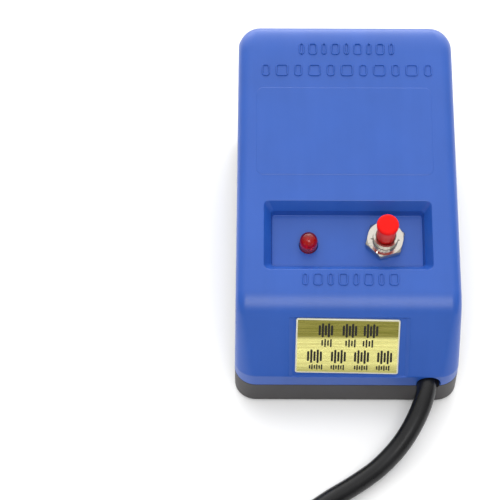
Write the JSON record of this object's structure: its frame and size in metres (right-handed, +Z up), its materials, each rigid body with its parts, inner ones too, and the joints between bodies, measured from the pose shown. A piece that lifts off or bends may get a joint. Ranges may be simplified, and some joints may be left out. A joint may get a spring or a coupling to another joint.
{
  "type": "watch demagnetizer",
  "caption": "Wedge-shaped benchtop demagnetizer: blue two-part case, recessed push button and pilot lamp, coil under the sloping top, name plate and mains lead.",
  "frame": {"origin": "on the bench, under the middle of the case's footprint; the free lead and its plug don't count", "axes": "+Z up, -Y towards the user: the button, the name plate and the lead's exit face -Y; +X to the user's right"},
  "size_m": [0.077, 0.238, 0.0509],
  "materials": {
    "blue_plastic": "satin moulded ABS with a fine spark-eroded grain",
    "grey_plastic": "matt moulded ABS",
    "zinc_steel": "zinc-plated screws",
    "black_rubber": "matt rubber",
    "gold_plate": "gold-anodised sheet with a horizontal brushed grain and a pale border",
    "red_lens": "polished red epoxy",
    "tinned_wire": "tinned",
    "resistor_body": "lacquered",
    "black_plastic": "moulded phenolic",
    "red_plastic": "glossy moulded plastic",
    "white_plastic": "nylon",
    "contact_brass": "stamped",
    "spring_steel": "drawn wire",
    "nickel": "bright nickel plate",
    "silicon_steel": "stamped and varnished",
    "enamelled_copper": "enamelled wire",
    "yellow_tape": "polyester tape",
    "brown_wire": "PVC",
    "blue_wire": "PVC",
    "red_wire": "PVC",
    "black_wire": "PVC",
    "cord_pvc": "satin black PVC",
    "tie_plastic": "nylon strap"
  },
  "bodies": {
    "case": {"upper_cover": "blue_plastic", "base_plate": "grey_plastic", "case_screws": "zinc_steel", "rubber_feet": "black_rubber", "name_plate": "gold_plate", "lamp_lens": "red_lens", "lamp_leads": "tinned_wire", "lamp_resistor": "resistor_body", "lamp_diode": "black_plastic", "component_leads": "tinned_wire", "button_spring": "spring_steel", "switch_bushing": "nickel", "switch_nut": "nickel", "switch_lock_washer": "nickel", "switch_housing": "black_plastic", "switch_terminals": "contact_brass", "core_laminations": "silicon_steel", "coil_bobbin": "white_plastic", "coil_winding": "enamelled_copper", "winding_tape": "yellow_tape", "coil_pins": "tinned_wire", "core_pads": "black_rubber", "cord_clamp": "grey_plastic", "clamp_screws": "zinc_steel", "live_wire": "brown_wire", "neutral_wire": "blue_wire", "switch_wire": "brown_wire", "lamp_wire_live": "red_wire", "lamp_wire_neutral": "black_wire", "mains_cord": "cord_pvc", "cord_coil": "cord_pvc", "cord_tail": "cord_pvc", "cord_tie": "tie_plastic", "plug_body": "cord_pvc", "plug_pins": "nickel"},
    "button": {"button_cap": "red_plastic", "button_plunger": "white_plastic", "moving_contact": "contact_brass"}
  },
  "joints": [
    {"name": "button_press", "type": "slide", "parent": "case", "child": "button", "axis": [0, 0.2317, -0.9728], "range_m": [0, 0.0025], "stiffness_N_per_m": 600, "springref_m": -0.002, "deforming": ["button_spring"]}
  ]
}
